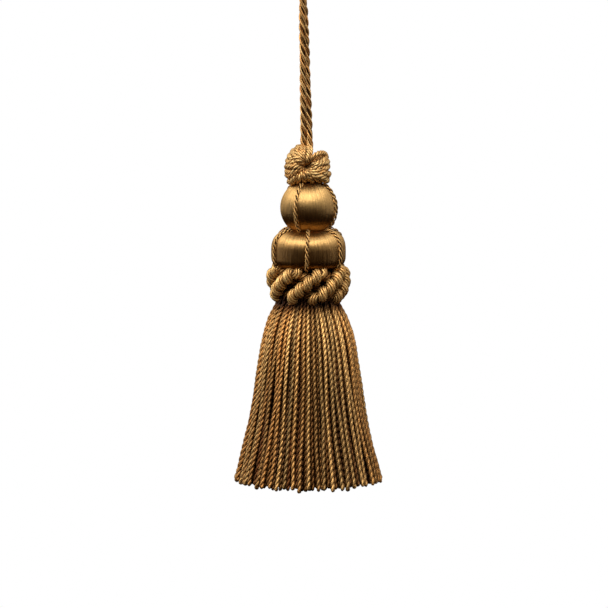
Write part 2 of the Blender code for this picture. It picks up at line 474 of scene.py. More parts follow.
def mixed(
    tree: bpy.types.NodeTree, share: Feed, first: Feed, second: Feed, blend: str = "MIX"
) -> bpy.types.NodeSocket:
    """A colour Mix node's result."""
    feeds = {0: share, 6: first, 7: second}
    return add_node(tree, "Mix", feeds, data_type="RGBA", blend_type=blend).outputs[2]


def attribute(tree: bpy.types.NodeTree, name: str) -> bpy.types.NodeSocket:
    """The number that a mesh keeps under a name."""
    return add_node(tree, "Attribute", {}, attribute_name=name).outputs["Fac"]


def node_group(
    name: str, inputs: dict[str, tuple[str, Feed]], outputs: dict[str, str]
) -> tuple[bpy.types.NodeTree, bpy.types.Node, bpy.types.Node]:
    """Starts a shader node group.

    Args:
        name: the group's name.
        inputs: each input's socket type and default value.
        outputs: each output's socket type.

    Returns:
        The group with its input and output nodes.
    """
    tree = bpy.data.node_groups.new(name, "ShaderNodeTree")
    for key, (kind, value) in inputs.items():
        socket = tree.interface.new_socket(key, in_out="INPUT", socket_type=kind)
        socket.default_value = value
    for key, kind in outputs.items():
        tree.interface.new_socket(key, in_out="OUTPUT", socket_type=kind)
    return tree, tree.nodes.new("NodeGroupInput"), tree.nodes.new("NodeGroupOutput")


def filament_group() -> bpy.types.NodeTree:
    """Builds the fine filaments of silk, streaks that run along a strand and lean round it.

    Returns:
        The group. It puts out fine streaks, and broader clumps of filaments.
    """
    inputs = {
        "Across": ("NodeSocketFloat", 4.0),
        "Along": ("NodeSocketFloat", 0.3),
        "Lean": ("NodeSocketFloat", 0.0),
    }
    outputs = {"Streak": "NodeSocketFloat", "Clump": "NodeSocketFloat"}
    tree, start, end = node_group("Silk filaments", inputs, outputs)
    lay = add_node(tree, "UVMap", {}, uv_map=UV_LAY)
    round_it, down_it, _ = add_node(tree, "SeparateXYZ", {0: lay.outputs[0]}).outputs
    leaning = math_node(tree, "MULTIPLY_ADD", down_it, start.outputs["Lean"], round_it)
    angle = math_node(tree, "MULTIPLY", leaning, TURN)
    along = math_node(tree, "MULTIPLY", down_it, start.outputs["Along"])
    apart = 53.0  # how far along the pattern a tone of 1 lies from a tone of 0
    shifted = math_node(tree, "MULTIPLY_ADD", attribute(tree, TONE), apart, along)
    for output, finer, detail in (("Streak", 1.0, 3.0), ("Clump", 0.28, 1.0)):
        width = math_node(tree, "MULTIPLY", start.outputs["Across"], finer)
        waves = [math_node(tree, wave, angle) for wave in ("COSINE", "SINE")]
        place = {axis: math_node(tree, "MULTIPLY", wave, width) for axis, wave in enumerate(waves)}
        place[2] = math_node(tree, "MULTIPLY", shifted, finer)
        vector = add_node(tree, "CombineXYZ", place).outputs[0]
        noise = add_node(tree, "TexNoise", {"Vector": vector, "Scale": 1.0, "Detail": detail})
        feed(tree, end, {output: noise.outputs["Fac"]})
    return tree


def dye_group() -> bpy.types.NodeTree:
    """Builds the uneven dye of silk dyed by hand.

    Returns:
        The group. Its colour has each cord's own tone and depth, paler and darker filaments,
        and painted shade deep between the strands, where the dye is multiplied by itself and
        darkened.
    """
    inputs = {key: ("NodeSocketColor", (0.4, 0.3, 0.1, 1)) for key in ("Cool", "Middle", "Warm")}
    inputs |= {key: ("NodeSocketFloat", 0.5) for key in ("Streak", "Clump", "Contrast", "Spread")}
    tree, start, end = node_group("Silk dye", inputs, {"Colour": "NodeSocketColor"})
    cool, middle, warm, streak, clump, contrast, spread, _ = start.outputs
    wander = math_node(tree, "MULTIPLY_ADD", clump, 0.5, -0.25)
    tone = math_node(tree, "ADD", attribute(tree, TONE), wander)
    low = math_node(tree, "MULTIPLY", tone, 2.0, clamp=True)
    high = math_node(tree, "MULTIPLY_ADD", tone, 2.0, -1.0, clamp=True)
    dyed = mixed(tree, high, mixed(tree, low, cool, middle), warm)
    # painted shade: the dye multiplied by itself, richer and darker, stands in for shade deep
    # between the strands
    painted_shade_colour = mixed(tree, 1.0, dyed, dyed, "MULTIPLY")
    dyed = mixed(tree, attribute(tree, SHADE), painted_shade_colour, dyed)
    centred = math_node(tree, "SUBTRACT", streak, 0.5)
    filament = math_node(tree, "MULTIPLY_ADD", centred, contrast, 1.0)
    chance = add_node(tree, "TexWhiteNoise", {"W": attribute(tree, TONE)}, noise_dimensions="1D")
    paler = math_node(tree, "MULTIPLY", chance.outputs["Value"], spread)
    depth = math_node(tree, "SUBTRACT", 1.0, paler)
    # painted shade: the colour darkens as the shade attribute falls
    open_side = math_node(tree, "MULTIPLY_ADD", attribute(tree, SHADE), 0.96, 0.04)
    gain = math_node(tree, "MULTIPLY", math_node(tree, "MULTIPLY", filament, depth), open_side)
    scaled = add_node(tree, "VectorMath", {0: dyed, "Scale": gain}, operation="SCALE")
    feed(tree, end, {"Colour": scaled.outputs[0]})
    return tree


@dataclass(frozen=True)
class Dye:
    """The tones that one bath of dye gives.

    Attributes:
        cool: the greenest.
        middle: the usual one.
        warm: the reddest.
    """

    cool: Colour
    middle: Colour
    warm: Colour


@dataclass(frozen=True)
class Silk:
    """The finish of one kind of silk.

    Attributes:
        name: the material's name.
        dye: its tones.
        across: filament streaks round a strand, as a radius of the pattern.
        along: how fast streaks change along a strand, for each millimetre.
        lean: turns round the strand for each millimetre.
        contrast: of the streaks' colour.
        metallic: how much of the light keeps the dye's colour in the lustre.
        roughness: least and most, from filament to filament.
        relief: the filaments' height in metres.
        lustre: how far the highlight is stretched out.
        turned: the share of a turn from round the strand to the way it is stretched.
        sheen: the soft light that loose hairs catch.
        spread: how far strands differ in depth of dye.
    """

    name: str
    dye: Dye
    across: float
    along: float
    lean: float
    contrast: float = 0.7
    metallic: float = 0.8
    roughness: tuple[float, float] = (0.36, 0.50)
    relief: float = 0.00004
    lustre: float = 0.5
    turned: float = 0.25
    sheen: float = 0.05
    spread: float = 0.4

    def material(self, groups: dict[str, bpy.types.NodeTree]) -> bpy.types.Material:
        """Builds the finish.

        Args:
            groups: the shared "filaments" and "dye" groups.

        Returns:
            The material.
        """
        material = bpy.data.materials.new(self.name)
        material.use_nodes = True
        tree = material.node_tree
        pattern = {"Across": self.across, "Along": self.along, "Lean": self.lean}
        filaments = add_node(tree, "Group", pattern, node_tree=groups["filaments"])
        streak, clump = filaments.outputs
        tones = {
            "Cool": (*self.dye.cool, 1),
            "Middle": (*self.dye.middle, 1),
            "Warm": (*self.dye.warm, 1),
            "Streak": streak,
            "Clump": clump,
            "Contrast": self.contrast,
            "Spread": self.spread,
        }
        dye = add_node(tree, "Group", tones, node_tree=groups["dye"])
        low, high = self.roughness
        rough = add_node(tree, "MapRange", {"Value": streak, "To Min": low, "To Max": high})
        bump = add_node(tree, "Bump", {"Height": streak, "Distance": self.relief})
        tangent = add_node(tree, "Tangent", {}, direction_type="UV_MAP", uv_map=UV_LAY)
        finish = {
            "Base Color": dye.outputs["Colour"],
            "Roughness": rough.outputs[0],
            "Normal": bump.outputs[0],
            "Tangent": tangent.outputs[0],
            "Metallic": self.metallic,
            "Anisotropic": self.lustre,
            "Anisotropic Rotation": self.turned,
            "Sheen Weight": self.sheen,
            "Sheen Tint": (*self.dye.middle, 1),
        }
        feed(tree, tree.nodes["Principled BSDF"], finish)
        return material


@dataclass
class Workshop:
    """What all sub-assemblies share: the axis, the finishes and a seeded hand.

    Attributes:
        axis_x: where the tassel's own axis stands.
        finishes: a material for each slot.
        hand: the source of all unevenness.
    """

    axis_x: float
    finishes: dict[Slot, bpy.types.Material]
    hand: np.random.Generator = field(default_factory=lambda: np.random.default_rng(31))

    def dress(self, piece: bpy.types.Object, slot: Slot, *nodes: str) -> bpy.types.Object:
        """Gives a piece its finish and its body, and hides the CAD nodes that it stands for.

        Args:
            piece: the piece.
            slot: the record's slot for its material.
            *nodes: the CAD nodes that it replaces.

        Returns:
            The same piece.
        """
        piece.data.materials.append(self.finishes[slot])
        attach(piece, "root")
        if nodes:
            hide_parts(*nodes)
        return piece

    def around(
        self, radius: np.ndarray, azimuth: np.ndarray | float, z: np.ndarray
    ) -> np.ndarray:
        """Places points round the tassel's axis.

        Args:
            radius: from the axis.
            azimuth: 0 at the front and growing to the right.
            z: the height.

        Returns:
            (..., 3), in the shape that the three give together.
        """
        across, deep = self.axis_x + radius * np.sin(azimuth), -radius * np.cos(azimuth)
        return np.stack(np.broadcast_arrays(across, deep, z), axis=-1)

    def turned(self, profile: np.ndarray, streak: np.ndarray, wall: float) -> Surface:
        """Spins a profile about the tassel's axis.

        Args:
            profile: (points, 2) of radius and z, whose two ends lie on the axis.
            streak: a radial offset for each step round, full at the widest point.
            wall: the painted shade where its side is upright; faces turned up are painted lighter
                and faces turned down darker.

        Returns:
            The surface, with u round it from the front and v down it in millimetres.
        """
        body, sides = profile[1:-1], len(streak)
        fullness = (body[:, 0] / body[:, 0].max())[:, None]
        angle = TURN * np.arange(sides) / sides
        walls = self.around(body[:, :1] + streak * fullness, angle, body[:, 1:]).reshape(-1, 3)
        poles = [(self.axis_x, 0, profile[end, 1]) for end in (0, -1)]
        # painted light and shade by facing: lighter where the surface turns up, darker where it
        # turns down
        slope = unit(np.gradient(body, axis=0))[:, 0]
        shade = np.clip(wall + 0.5 * slope, 0.6 * wall, 1.0)
        down = lengths(profile)[None, 1:-1] / MM
        return Surface(
            np.concatenate([walls, poles]),
            *skin(down, sides, clockwise=True),
            np.full(len(walls) + 2, 0.5),
            np.concatenate([np.repeat(shade, sides), shade[[0, -1]]]),
        )


class SubAssembly(ABC):
    """A part of the tassel that is made on its own."""

    @abstractmethod
    def build(self, shop: Workshop) -> list[bpy.types.Object]:
        """Makes and dresses its pieces."""


@dataclass
class HangingLoop(SubAssembly):
    """The doubled cord that the tassel hangs by.

    Attributes:
        diameter: of the cord; not used.
        plies: the three plies.
        yarns: the yarns of each ply.
        yarn_radius: of one yarn.
        draw: how far the back leg is drawn in against the front one at its foot.
        buried: how far each foot runs on into the rosette.
        step: between the rings of a yarn.
    """

    diameter: float = 0.0022
    plies: Lay = Lay(3, 0.00070, 0.0108, Hand.S)
    yarns: Lay = Lay(3, 0.00029, 0.0160, Hand.S)
    yarn_radius: float = 0.00033
    draw: float = 0.00050
    buried: float = 0.0020
    step: float = 0.00036

    def build(self, shop: Workshop) -> list[bpy.types.Object]:
        """Args:
            shop: whose hand and finishes it has.

        Returns:
            The cord.
        """
        route = np.array(CORD_ROUTE)
        path = smooth_route(route, 0.0004)
        start = path[0] + unit(path[0] - path[4]) * self.buried
        end = path[-1] + unit(path[-1] - path[-5]) * self.buried
        middle = even_steps(np.vstack([start, path, end]), self.step)[None]
        middle[..., 0] -= self.draw * np.clip(middle[..., 0] / route[-1, 0], 0, 1)
        plies = laid_up(middle, self.plies, phase=0.6)
        yarns = laid_up(plies, self.yarns, phase=shop.hand.uniform(0, TURN, len(plies)))
        tubes = Tubes()
        ply = self.yarns.offset + self.yarn_radius
        # painted shade: the lines and reaches that the shade between plies and yarns is painted from
        cores = (
            (np.repeat(plies, self.yarns.strands, 0), ply),
            (np.repeat(middle, len(yarns), 0), self.plies.offset + ply),
        )
        tubes.add(yarns, self.yarn_radius, 5, shop.hand.uniform(0, 1, len(yarns)), cores)
        piece = shop.dress(tubes.piece("hanging_loop_cord"), Slot.CORD, "hanging_cord")
        float(lengths(path)[-1])
        return [piece]


@dataclass
class Rosette(SubAssembly):
    """The ball of cord loops over the foot of the hanging loop.

    Attributes:
        angles: where the loops run over the rim, in degrees from the top, clockwise.
        plies: the three plies of their cord.
        ply_radius: of one ply.
        thickness: the least and most that a loop is stretched thick.
        rim: how far out the loops reach at angles from the top, clockwise.
        middle: the eye that all loops run into.
        inset: from the rosette's rim in to its cords' middles.
        half_depth: how far the loops stand forward of the middle.
        eye: how near the middle the loops dive in.
        slim: a cord's thickness at the eye, and how far out from there it grows by a whole.
        dim: the same for the painted shade that darkens the cords towards the eye.
        rows: each row's share of the full size, from the outside in.
        row_turn: how far each row is turned back from the last one, in degrees.
        row_dim: painted shade, how much of its brightness each row further in loses.
        foot: how far right of the eye the strands from the hanging loop's foot start.
        foot_size: the least and most that such a strand is stretched thick.
        foot_swell: the least and most that it bulges.
        raised: the one raised loop, as distances right, forward and up of the middle.
        step: between the rings of a ply.
    """

    angles: tuple[float, ...] = (
        -19, -33, -47, -62, -78, -94, -108, -121, -134, -150,
        -168, 173, 156, 141, 127, 113, 97, 82, 67,
    )
    plies: Lay = Lay(3, 0.00052, 0.0040, Hand.S)
    ply_radius: float = 0.00048
    thickness: tuple[float, float] = (0.95, 1.25)
    rim: tuple[tuple[float, float], ...] = (
        (-180, 0.0055),
        (-154, 0.0069),
        (-134, 0.0097),
        (-108, 0.0078),
        (-85, 0.0073),
        (-45, 0.0073),
        (0, 0.0070),
        (45, 0.0070),
        (65, 0.0078),
        (90, 0.0083),
        (128, 0.0093),
        (152, 0.0073),
        (180, 0.0055),
    )
    middle: Point = (0.0014, 0.0, -0.0645)
    inset: float = 0.00085
    half_depth: float = 0.0058
    eye: float = 0.0011
    slim: tuple[float, float] = (0.5, 0.0050)
    dim: tuple[float, float] = (0.45, 0.0060)
    rows: tuple[float, ...] = (1.0, 0.80)
    row_turn: float = 7.0
    row_dim: float = 0.3
    foot: tuple[float, ...] = (-0.0033, -0.0021, -0.0009, 0.0004, 0.0017)
    foot_size: tuple[float, float] = (0.65, 0.90)
    foot_swell: tuple[float, float] = (0.78, 1.08)
    raised: tuple[Point, ...] = (
        (0.0008, 0.0030, 0.0008),
        (0.0017, 0.0050, 0.0026),
        (0.0030, 0.0056, 0.0040),
        (0.0044, 0.0046, 0.0047),
        (0.0058, 0.0026, 0.0045),
        (0.0066, 0.0004, 0.0036),
        (0.0069, -0.0016, 0.0022),
        (0.0062, -0.0036, 0.0010),
    )
    step: float = 0.00032

    def reach(self, angle: float) -> float:
        """Reads the rim.

        Args:
            angle: from the top, clockwise.

        Returns:
            How far a cord's middle reaches from the eye.
        """
        degrees, reaches = zip(*self.rim)
        turned = (math.degrees(angle) + 180) % 360 - 180
        return float(np.interp(turned, degrees, reaches)) - self.inset

    def half_loop(self, reach: float, depth: float) -> np.ndarray:
        """Outlines half a loop, from the eye over the face to the rim.

        Args:
            reach: its radius at the rim.
            depth: how far forward it stands.

        Returns:
            (points, 2) of radius and distance forward.
        """
        return np.array(
            [
                (self.eye * 0.4, depth * 0.25),
                (self.eye, depth * 0.60),
                (reach * 0.36, depth * 0.90),
                (reach * 0.58, depth * 0.98),
                (reach * 0.80, depth * 0.82),
                (reach * 0.95, depth * 0.48),
                (reach, depth * 0.12),
            ]
        )

    def place(self, right: np.ndarray, forward: np.ndarray, up: np.ndarray) -> np.ndarray:
        """Points from how far right, forward and up of the middle they lie."""
        away = np.stack(np.broadcast_arrays(right, -forward, up), axis=-1)
        return np.array(self.middle) + away

    def over_rim(self, angle: float, hand: np.random.Generator, share: float) -> np.ndarray:
        """One loop, from the front eye over the rim to the back eye.

        Args:
            angle: where it crosses the rim, 0 at the top and growing to the right.
            hand: what makes it uneven.
            share: how much of the full reach and depth it has.

        Returns:
            (points, 3).
        """
        reach = self.reach(angle) * share * (1 + hand.uniform(-0.06, 0.04))
        depth = self.half_depth * share * (1 + hand.uniform(-0.22, 0.08))
        half = self.half_loop(reach, depth)
        outline = np.vstack([half, half[::-1] * [1, -1]])
        lean = math.radians(hand.uniform(-9, 9))
        turn = angle + lean * np.linspace(-1, 1, len(outline))
        turn = turn + math.radians(3) * hand.uniform(-1, 1, len(outline))
        return self.place(
            outline[:, 0] * np.sin(turn), outline[:, 1], outline[:, 0] * np.cos(turn)
        )

    def from_foot(self, start: float, side: int, swell: float) -> np.ndarray:
        """A strand from the hanging loop's foot, over the top and into the eye.

        Args:
            start: how far right of the eye it starts.
            side: 1 in front and -1 behind.
            swell: how far it bulges.

        Returns:
            (points, 3).
        """
        right, forward, up = np.array(
            [
                (start * 0.80, 0.0006, 0.0064),
                (start * 1.00, 0.0026, 0.0062),
                (start * 1.06, 0.0045, 0.0052),
                (start * 0.94, 0.0056, 0.0037),
                (start * 0.64, 0.0054, 0.0022),
                (start * 0.34, 0.0042, 0.0010),
                (start * 0.12, 0.0022, 0.0003),
            ]
        ).T
        return self.place(right, forward * side * swell, up)

    def build(self, shop: Workshop) -> list[bpy.types.Object]:
        """Winds the loops, the strands from the cord's foot and the one raised loop.

        Args:
            shop: whose hand and finishes it has.

        Returns:
            All of the loops as one piece.
        """
        tubes = Tubes()
        hand = shop.hand
        for row, share in enumerate(self.rows):
            for degrees in self.angles[: len(self.angles) - row]:
                angle = math.radians(degrees - self.row_turn * row + hand.uniform(-2, 2))
                size = hand.uniform(*self.thickness)
                loop = self.over_rim(angle, hand, share)
                # painted shade: each row further in is painted darker
                self.lay_in(tubes, loop, hand, size, 1 - self.row_dim * row)
        for side in (-1, 1):
            for start in self.foot:
                start += hand.uniform(-0.0002, 0.0002)
                size = hand.uniform(*self.foot_size)
                strand = self.from_foot(start, side, hand.uniform(*self.foot_swell))
                self.lay_in(tubes, strand, hand, size)
        self.lay_in(tubes, self.place(*np.transpose(self.raised)), hand)
        return [shop.dress(tubes.piece("rosette_loops"), Slot.ROSETTE, "top_rosette")]

    def lay_in(
        self,
        tubes: Tubes,
        places: np.ndarray,
        hand: np.random.Generator,
        size: float = 1.0,
        light: float = 1.0,
    ) -> None:
        """Lays up a cord through places, drawn in thin towards the eyes, with painted shade
        darkening it there.

        Args:
            tubes: where its plies go.
            places: (points, 3) for its middle.
            hand: what gives it its first turn and its tones.
            size: its thickness, where 1 is the usual.
            light: painted shade on its outside, as how bright its dye looks there.
        """
        line = smooth_route(places, self.step)
        away = np.hypot(line[:, 0] - self.middle[0], line[:, 2] - self.middle[2])
        full = size * self.from_eye(away, *self.slim)
        plies = laid_up(line[None], self.plies, phase=hand.uniform(0, TURN), spread=full)
        radius = np.repeat(self.ply_radius * full, len(plies), axis=0)
        # painted shade: darker deep between the plies
        reach = np.repeat((self.plies.offset + self.ply_radius) * full, len(plies), axis=0)
        cores = ((np.repeat(line[None], len(plies), 0), reach),)
        # painted shade: darker towards the eye, where the loops crowd in
        shade = light * self.from_eye(away, *self.dim)
        tubes.add(plies, radius, 6, hand.uniform(0, 1, len(plies)), cores, shade)

    @staticmethod
    def from_eye(away: np.ndarray, least: float, run: float) -> np.ndarray:
        """A share at each point, from its least at the eye to 1 further out."""
        return np.clip(least + away / run, least, 1.0)[None]


@dataclass
class Mould(SubAssembly):
    """A turned mould covered in floss, with fine cords laid over it.

    Attributes:
        name: of the floss cover's piece.
        node: its CAD node.
        swell: how far the floss stands out past the CAD's surface.
        cords: each cord's azimuth in degrees, from the front to the right.
        plies: of the cords.
        yarns: of each ply.
        yarn_radius: of one yarn.
        stand: how far a cord's middle lies outside the floss.
        wall: the painted shade of the floss where its side is upright, lighter where it turns up and
            darker where it turns down.
        sides: how many steps go round the floss.
        streaks: how many times the floss's unevenness goes up and down in a turn.
        relief: of each of them.
        step: between the rings of a yarn.
    """

    name: str
    node: str
    swell: float
    cords: tuple[float, ...]
    plies: Lay = Lay(3, 0.00044, 0.0060, Hand.S)
    yarns: Lay = Lay(2, 0.00014, 0.0048, Hand.Z)
    yarn_radius: float = 0.00020
    stand: float = 0.00034
    wall: float = 1.0
    sides: int = 288
    streaks: tuple[int, ...] = (23, 41, 67, 96)
    relief: float = 0.000012
    step: float = 0.00024

    @abstractmethod
    def outline(self) -> np.ndarray:
        """The floss cover's profile as (radius, z), from the top of the axis down."""

    @abstractmethod
    def cord_outline(self) -> np.ndarray:
        """The profile that the middle of a cord follows, as (radius, z)."""

    def build(self, shop: Workshop) -> list[bpy.types.Object]:
        """Covers the mould with floss and lays its cords.

        Args:
            shop: whose hand, axis and finishes it has.

        Returns:
            The floss cover and the cords.
        """
        turns = TURN * np.arange(self.sides) / self.sides
        streak = np.zeros(self.sides)
        for waves in self.streaks:
            streak += self.relief * np.sin(waves * turns + shop.hand.uniform(0, TURN))
        cover = shop.turned(self.outline(), streak, self.wall).piece(self.name)
        shop.dress(cover, Slot.FLOSS, self.node)
        nodes = [f"{self.node}_cord_{i + 1}" for i in range(len(self.cords))]
        cords = shop.dress(self.laid_cords(shop).piece(f"{self.name}_cords"), Slot.TRIM, *nodes)
        return [cover, cords]

    def laid_cords(self, shop: Workshop) -> Tubes:
        """Lays up the cords over the floss.

        Args:
            shop: whose hand and axis they have.

        Returns:
            Their yarns.
        """
        tubes = Tubes()
        profile = self.cord_outline()
        for i, azimuth in enumerate(self.cords):
            sway = math.radians(1.0) * np.sin(np.linspace(0, 3, len(profile)) + i)
            azimuths = math.radians(azimuth) + sway
            line = smooth_route(shop.around(profile[:, 0], azimuths, profile[:, 1]), self.step)
            plies = laid_up(line[None], self.plies, phase=shop.hand.uniform(0, TURN))
            yarns = laid_up(plies, self.yarns)
            tones = shop.hand.uniform(0.2, 0.9, len(yarns))
            # painted shade: darker deep between the plies and yarns
            reach = self.plies.offset + self.yarns.offset + self.yarn_radius
            cores = ((np.repeat(line[None], len(yarns), 0), reach),)
            tubes.add(yarns, self.yarn_radius, 5, tones, cores)
        return tubes


@dataclass
class UpperMould(Mould):
    """The ball under the rosette.

    Attributes:
        name: of the floss cover's piece.
        node: its CAD node.
        swell: how far the floss stands out past the CAD's surface.
        cords: each cord's azimuth in degrees, from the front to the right.
        bite: how far the floss presses into the bun below.
        cord_ends: a cord's start and end, in degrees from the top of the ball.
    """

    name: str = "upper_floss"
    node: str = "upper_mould"
    swell: float = 0.00018
    cords: tuple[float, ...] = (-27.5, 70.0, 162.0, -124.0)
    bite: float = 0.0006
    cord_ends: tuple[float, float] = (28.0, 142.0)

    def __post_init__(self) -> None:
        """Takes the ball's size and place from the frame."""
        low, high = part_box(self.node)
        self.radius = (high[0] - low[0]) / 2
        self.level = high[2] - self.radius
        self.foot = low[2]

    def outline(self) -> np.ndarray:
        """Outlines a ball cut off at its foot, where it presses into the bun.

        Returns:
            (points, 2) of radius and z.
        """
        radius = self.radius + self.swell
        last = math.acos((self.foot - self.bite - self.level) / radius)
        turn = np.linspace(0, last, 56)
        arc = np.stack([radius * np.sin(turn), self.level + radius * np.cos(turn)], 1)
        arc[0, 0] = 0
        return np.vstack([arc, [0, arc[-1, 1]]])

    def cord_outline(self) -> np.ndarray:
        """Runs from under the rosette, over the ball and into the crease.

        Returns:
            (points, 2) of radius and z.
        """
        radius = self.radius + self.swell + self.stand
        turn = np.radians(np.linspace(*self.cord_ends, 14))
        return np.stack([radius * np.sin(turn), self.level + radius * np.cos(turn)], 1)


@dataclass
class LowerMould(Mould):
    """The bun under the ball, whose foot the collar hides.

    Attributes:
        name: of the floss cover's piece.
        node: its CAD node.
        swell: how far the floss stands out past the CAD's surface.
        cords: each cord's azimuth in degrees, from the front to the right.
        wall: the painted shade of the floss where its side is upright, lighter where it turns up and
            darker where it turns down.
        peg: the radius of the floss below the bun.
        crease: the radius at which the cords come out from under the ball.
        rise_share: the height above its widest point, as a share of its radius.
        drop_share: the depth below its widest point, as a share of its radius.
        powers: how square it is above and below, where 2 is round.
    """

    name: str = "lower_floss"
    node: str = "lower_mould"
    swell: float = 0.00025
    cords: tuple[float, ...] = (-65.0, -2.5, 57.5, 117.0, 176.0, -124.0)
    # painted shade: the bun's upright side is painted darker than its top
    wall: float = 0.70
    peg: float = 0.0075
    crease: float = 0.0060
    rise_share: float = 0.633
    drop_share: float = 0.4375
    powers: tuple[int, int] = (3, 4)

    def __post_init__(self) -> None:
        """Takes the bun's size and place from the frame."""
        low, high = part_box(self.node)
        self.radius = (high[0] - low[0]) / 2
        self.spigot_end = low[2]
        self.rise = self.rise_share * self.radius
        self.drop = self.drop_share * self.radius
        self.level = high[2] - self.rise

    def quarter(self, out: float, height: float, power: float) -> np.ndarray:
        """Draws a quarter of a superellipse, from its widest point.

        Args:
            out: how far outside the bun it runs.
            height: the bun's, above or below its widest point.
            power: how square it is.

        Returns:
            (points, 2) of radius and height.
        """
        turn = np.linspace(0, math.pi / 2, 26)
        radius = (self.radius + out) * np.cos(turn) ** (2 / power)
        return np.stack([radius, (height + out) * np.sin(turn) ** (2 / power)], 1)

    def halves(self, out: float) -> tuple[np.ndarray, np.ndarray]:
        """Outlines the bun's cushion shape.

        Args:
            out: how far outside the bun it runs.

        Returns:
            What lies above its widest point and what lies below, from the top down, each
            (points, 2) of radius and z.
        """
        above = self.quarter(out, self.rise, self.powers[0])[::-1]
        below = self.quarter(out, self.drop, self.powers[1])[1:] * [1, -1]
        return above + [0, self.level], below + [0, self.level]

    def outline(self) -> np.ndarray:
        """Outlines the bun and the peg below it.

        Returns:
            (points, 2) of radius and z.
        """
        above, below = self.halves(self.swell)
        above[0, 0] = 0
        below = below[below[:, 0] > self.peg]
        shoulder = below[-1, 1] - 0.0002
        end = [(self.peg, shoulder), (self.peg, self.spigot_end), (0, self.spigot_end)]
        return np.vstack([above, below, end])

    def cord_outline(self) -> np.ndarray:
        """Runs from the crease, over the bun and down behind the collar.

        Returns:
            (points, 2) of radius and z.
        """
        line = np.vstack(self.halves(self.swell + self.stand))
        end = self.level - 0.97 * self.drop
        return line[(line[:, 0] > self.crease) & (line[:, 1] > end)][::2]


@dataclass
class Collar(SubAssembly):
    """The thick gimp rope wound slantwise round and round the neck.

    Attributes:
        crossings: how often the rope crosses the outside.
        circuits: how often it goes round the neck on its way.
        outside: how far round it travels on each crossing of the outside.
        strands: the thick strand that coils along it.
        yarns: the strand's yarns, which turn the same way.
        yarn_radius: of one yarn.
        shade_reach_share: the share of the rope's reach at which the painted shade between its
            strand's yarns ends.
        dusk: painted shade where the rope passes inside, as how bright the dye looks there.
        level: the collar's middle.
        rise: from there to the rope's middle where it turns over.
        neck: the rope's middle where it turns over.
        lean: how much further out it turns over at the top than at the bottom, halved.
        out: how much further out it is where it crosses the outside.
        inward: how much nearer the axis it is where it passes inside.
        roundness: how evenly it swings in and out, where 1 is round and less is square.
        stray: how far its crossings stray round the neck.
        front: an azimuth of one of its lower turns.
        step: between the rings of a yarn.
    """

    crossings: int = 8
    circuits: int = 3
    outside: float = math.radians(56)
    strands: Lay = Lay(1, 0.00086, 0.0038, Hand.S)
    yarns: Lay = Lay(8, 0.00123, 0.0105, Hand.S)
    yarn_radius: float = 0.00046
    shade_reach_share: float = 0.92
    dusk: float = 0.25
    level: float = -0.1058
    rise: float = 0.0049
    neck: float = 0.0105
    lean: float = 0.0005
    out: float = 0.0019
    inward: float = 0.0023
    roundness: float = 0.65
    stray: float = math.radians(2.5)
    front: float = math.radians(-34)
    step: float = 0.00026

    def winding(self, shop: Workshop) -> np.ndarray:
        """Winds the rope round the neck.

        Args:
            shop: whose axis it goes round.

        Returns:
            The rope's middle line, (points, 3).
        """
        turn = np.linspace(0, self.crossings, 200 * self.crossings)
        across, up = np.sin(turn * TURN), -np.cos(turn * TURN)
        swing = np.where(across > 0, self.out, self.inward)
        swing = swing * np.sign(across) * np.abs(across) ** self.roundness
        half, passed = np.divmod(turn * 2, 1)
        passed = passed - 0.5 * np.sin(passed * TURN) / TURN
        inside = TURN * self.circuits / self.crossings - self.outside
        whole = np.floor(turn) * (self.outside + inside)
        rising = np.where(half % 2 == 0, passed * self.outside, self.outside + passed * inside)
        azimuth = self.front + whole + rising
        azimuth += self.stray * np.sin(azimuth - 0.3)
        places = shop.around(
            self.neck + self.lean * up + swing, azimuth, self.level + self.rise * up
        )
        return even_steps(places, self.step)

    def build(self, shop: Workshop) -> list[bpy.types.Object]:
        """Winds the rope and lays up its strand and yarns.

        Args:
            shop: whose hand, axis and finishes it has.

        Returns:
            The rope.
        """
        line = self.winding(shop)[None]
        strands = laid_up(line, self.strands, phase=0.4)
        yarns = laid_up(strands, self.yarns, phase=shop.hand.uniform(0, TURN, len(strands)))
        # painted shade: darker deep between the yarns and round the strand
        strand = self.yarns.offset + self.yarn_radius
        cores = (
            (np.repeat(strands, self.yarns.strands, 0), strand),
            (np.repeat(line, len(yarns), 0), (self.strands.offset + strand) * self.shade_reach_share),
        )
        # painted shade: the rope is painted darker where it passes inside, nearer the axis
        away = np.hypot(line[..., 0] - shop.axis_x, line[..., 1])
        depths = (self.neck - self.inward, self.neck + self.out / 2)
        light = np.interp(away, depths, (self.dusk, 1.0))
        tubes = Tubes()
        tones = shop.hand.uniform(0, 1, len(yarns))
        tubes.add(yarns, self.yarn_radius, 5, tones, cores, light)
        return [shop.dress(tubes.piece("collar_rope"), Slot.COLLAR, "plaited_collar")]


@dataclass(frozen=True)
class Layer:
    """One layer of bullion cords in the skirt.

    Attributes:
        name: its piece.
        cords: how many.
        shift: how far round it starts, in cords.
        depth: how far in from the skirt's outside its cords' middles lie, at hem and at top.
        ply_radius: of a cord's two plies, at the top and at the tip.
        offset: from the cord's middle to a ply's, at the top and at the tip.
        sides: of a ply's section.
        rings: for each turn of the cord.
        length: how far its tips reach past or short of the hem.
        shade: painted shade for a layer lying behind those outside it, as how much of the dye's
            brightness is left in it.
    """

    name: str
    cords: int
    shift: float
    depth: tuple[float, float]
    ply_radius: tuple[float, float]
    offset: tuple[float, float]
    sides: int
    rings: int
    length: float
    shade: float


